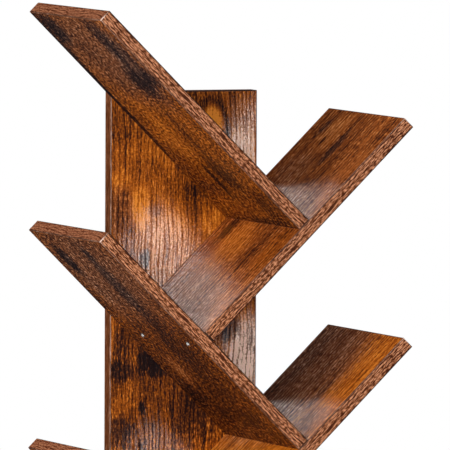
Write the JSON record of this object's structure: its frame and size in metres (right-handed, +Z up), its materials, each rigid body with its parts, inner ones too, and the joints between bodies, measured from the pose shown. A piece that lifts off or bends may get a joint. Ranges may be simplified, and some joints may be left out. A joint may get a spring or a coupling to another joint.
{
  "type": "tree shaped bookshelf",
  "caption": "Free-standing tree shaped bookshelf: sloping branch shelves screwed left and right in turn to a flat trunk panel on a base board with plastic glides.",
  "frame": {"origin": "on the floor, below the middle of the base board", "axes": "+X to the right as seen from the front, +Y to the rear, where the trunk is, +Z up"},
  "size_m": [0.37, 0.27, 1.2399],
  "materials": {
    "rustic_board": "rustic brown woodgrain laminate on chipboard, embossed, with a low sheen",
    "zinc_steel": "bright zinc plated",
    "black_plastic": "matt moulded"
  },
  "bodies": {
    "root": {"base_board": "rustic_board", "base_branch_screw_front": "zinc_steel", "base_branch_screw_rear": "zinc_steel", "base_trunk_screw_left": "zinc_steel", "base_trunk_screw_right": "zinc_steel", "foot_front_left": "black_plastic", "foot_front_right": "black_plastic", "foot_rear_left": "black_plastic", "foot_rear_right": "black_plastic", "foot_screw_front_left": "zinc_steel", "foot_screw_front_right": "zinc_steel", "foot_screw_rear_left": "zinc_steel", "foot_screw_rear_right": "zinc_steel", "joint_screw_left_2_front": "zinc_steel", "joint_screw_left_2_rear": "zinc_steel", "joint_screw_left_3_front": "zinc_steel", "joint_screw_left_3_rear": "zinc_steel", "joint_screw_left_4_front": "zinc_steel", "joint_screw_left_4_rear": "zinc_steel", "joint_screw_left_5_front": "zinc_steel", "joint_screw_left_5_rear": "zinc_steel", "joint_screw_right_1_front": "zinc_steel", "joint_screw_right_1_rear": "zinc_steel", "joint_screw_right_2_front": "zinc_steel", "joint_screw_right_2_rear": "zinc_steel", "joint_screw_right_3_front": "zinc_steel", "joint_screw_right_3_rear": "zinc_steel", "joint_screw_right_4_front": "zinc_steel", "joint_screw_right_4_rear": "zinc_steel", "left_branch_1": "rustic_board", "left_branch_2": "rustic_board", "left_branch_3": "rustic_board", "left_branch_4": "rustic_board", "left_branch_5": "rustic_board", "right_branch_1": "rustic_board", "right_branch_2": "rustic_board", "right_branch_3": "rustic_board", "right_branch_4": "rustic_board", "trunk": "rustic_board", "trunk_screw_left_1_lower": "zinc_steel", "trunk_screw_left_1_upper": "zinc_steel", "trunk_screw_left_2_lower": "zinc_steel", "trunk_screw_left_2_upper": "zinc_steel", "trunk_screw_left_3_lower": "zinc_steel", "trunk_screw_left_3_upper": "zinc_steel", "trunk_screw_left_4_lower": "zinc_steel", "trunk_screw_left_4_upper": "zinc_steel", "trunk_screw_left_5_lower": "zinc_steel", "trunk_screw_left_5_upper": "zinc_steel", "trunk_screw_right_1_lower": "zinc_steel", "trunk_screw_right_1_upper": "zinc_steel", "trunk_screw_right_2_lower": "zinc_steel", "trunk_screw_right_2_upper": "zinc_steel", "trunk_screw_right_3_lower": "zinc_steel", "trunk_screw_right_3_upper": "zinc_steel", "trunk_screw_right_4_lower": "zinc_steel", "trunk_screw_right_4_upper": "zinc_steel"}
  },
  "joints": []
}
